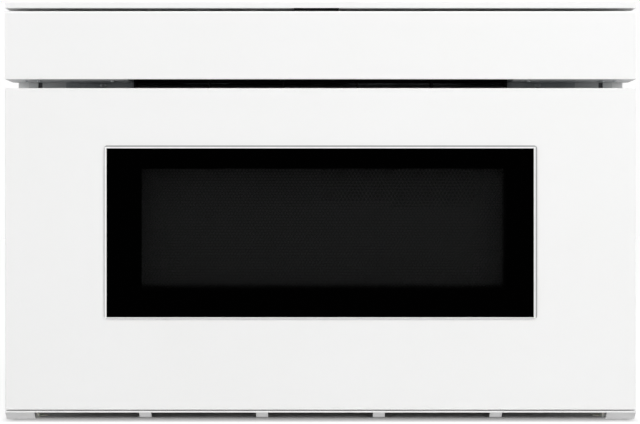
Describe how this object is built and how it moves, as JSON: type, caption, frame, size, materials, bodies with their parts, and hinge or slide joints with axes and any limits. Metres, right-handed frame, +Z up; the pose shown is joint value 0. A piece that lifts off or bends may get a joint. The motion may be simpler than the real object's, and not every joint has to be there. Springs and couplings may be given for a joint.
{
  "type": "microwave drawer",
  "caption": "Built-in microwave oven drawer with a plain front, dark window, tilting hidden control flap, top trim and slotted bottom trim.",
  "frame": {"origin": "on the floor under the middle of the whole part", "axes": "+X to the right across the front, the front faces -Y, +Z up"},
  "size_m": [0.6064, 0.59, 0.402],
  "materials": {
    "white_enamel": "baked white enamel on steel sheet",
    "galvanised_steel": "galvanised sheet",
    "oven_paint": "baked grey oven paint",
    "bordered_glass": "tempered, black ceramic border",
    "clear_glass": "clear tempered",
    "screen_paint": "black painted perforated sheet",
    "black_plastic": "moulded, fine grain",
    "touch_glass": "gloss black touch glass",
    "white_nylon": "moulded nylon",
    "bright_steel": "ground and plated steel",
    "aluminium": "drawn sheet and cans",
    "core_iron": "varnished laminations",
    "circuit_board": "solder-masked laminate",
    "motor_can": "zinc-plated pressed can",
    "mica": "cut mica sheet"
  },
  "bodies": {
    "chassis": {"base_plate": "galvanised_steel", "side_panel_left": "galvanised_steel", "side_panel_right": "galvanised_steel", "back_panel": "galvanised_steel", "top_cover": "galvanised_steel", "front_frame": "galvanised_steel", "upper_rail": "galvanised_steel", "air_grille": "black_plastic", "top_trim": "white_enamel", "flap_catch": "black_plastic", "bottom_trim": "white_enamel", "trim_clips": "white_nylon", "flap_hinge_pins": "bright_steel", "flap_motor": "motor_can", "slide_outers": "bright_steel", "slide_motor": "motor_can", "shaft_bearings": "black_plastic", "interlock_switches": "black_plastic", "oven_cavity": "oven_paint", "exhaust_duct": "black_plastic", "waveguide": "aluminium", "magnetron": "aluminium", "high_voltage_transformer": "core_iron", "high_voltage_capacitor": "aluminium", "stirrer_cover": "mica", "stirrer_motor": "motor_can", "cavity_lamp": "black_plastic", "power_board": "circuit_board", "blower_housing": "black_plastic", "blower_motor": "motor_can", "cord_gland": "black_plastic"},
    "drawer": {"drawer_front_panel": "white_enamel", "window_bezel": "white_enamel", "window_glass": "bordered_glass", "door_screen": "screen_paint", "door_frame": "galvanised_steel", "choke_cover": "black_plastic", "inner_window": "clear_glass", "latch_heads": "black_plastic", "basket_sides": "oven_paint", "basket_floor": "oven_paint", "basket_back": "oven_paint", "glass_tray": "clear_glass", "slide_inners": "bright_steel", "drawer_arms": "galvanised_steel", "drawer_racks": "white_nylon"},
    "middle_slides": {"slide_middles": "bright_steel", "slide_cages": "white_nylon"},
    "drive_shaft": {"drive_shaft": "bright_steel", "drive_gears": "white_nylon"},
    "motor_pinion": {"motor_pinion": "white_nylon"},
    "control_flap": {"control_flap": "white_enamel", "key_panel_housing": "black_plastic", "key_panel_glass": "touch_glass", "control_board": "circuit_board", "flap_sector": "white_nylon"},
    "flap_pinion": {"flap_pinion": "white_nylon"},
    "stirrer": {"stirrer": "aluminium"},
    "blower_wheel": {"blower_wheel": "black_plastic"},
    "interlock_plungers": {"interlock_plungers": "white_nylon"}
  },
  "joints": [
    {"name": "drawer_slide", "type": "slide", "parent": "chassis", "child": "drawer", "axis": [0, -1, 0], "range_m": [0, 0.385]},
    {"name": "middle_slides_travel", "type": "slide", "parent": "chassis", "child": "middle_slides", "axis": [0, -1, 0], "range_m": [0, 0.193]},
    {"name": "drive_shaft_turn", "type": "hinge", "parent": "chassis", "child": "drive_shaft", "pos_m": [0, -0.2146, 0.058], "axis": [1, 0, 0], "range_deg": [0, 1262]},
    {"name": "motor_pinion_turn", "type": "hinge", "parent": "chassis", "child": "motor_pinion", "pos_m": [0.065, -0.1786, 0.058], "axis": [1, 0, 0], "range_deg": [-3786, 0]},
    {"name": "flap_tilt", "type": "hinge", "parent": "chassis", "child": "control_flap", "pos_m": [0, -0.2858, 0.3352], "axis": [1, 0, 0], "range_deg": [0, 45]},
    {"name": "flap_pinion_turn", "type": "hinge", "parent": "chassis", "child": "flap_pinion", "pos_m": [0.264, -0.2638, 0.3733], "axis": [1, 0, 0], "range_deg": [-203, 0]},
    {"name": "stirrer_turn", "type": "hinge", "parent": "chassis", "child": "stirrer", "pos_m": [0, -0.0376, 0.28], "axis": [0, 0, 1], "continuous": true},
    {"name": "blower_turn", "type": "hinge", "parent": "chassis", "child": "blower_wheel", "pos_m": [0.176, 0.232, 0.058], "axis": [1, 0, 0], "continuous": true},
    {"name": "interlock_press", "type": "slide", "parent": "chassis", "child": "interlock_plungers", "axis": [0, 1, 0], "range_m": [0, 0.0012], "stiffness_N_per_m": 300}
  ],
  "couplings": [
    {"joint": "middle_slides_travel", "follows": "drawer_slide", "ratio": 0.5},
    {"joint": "drive_shaft_turn", "follows": "drawer_slide", "rad_per_m": 57.143},
    {"joint": "motor_pinion_turn", "follows": "drawer_slide", "rad_per_m": -171.43},
    {"joint": "flap_pinion_turn", "follows": "flap_tilt", "ratio": -4.5}
  ]
}
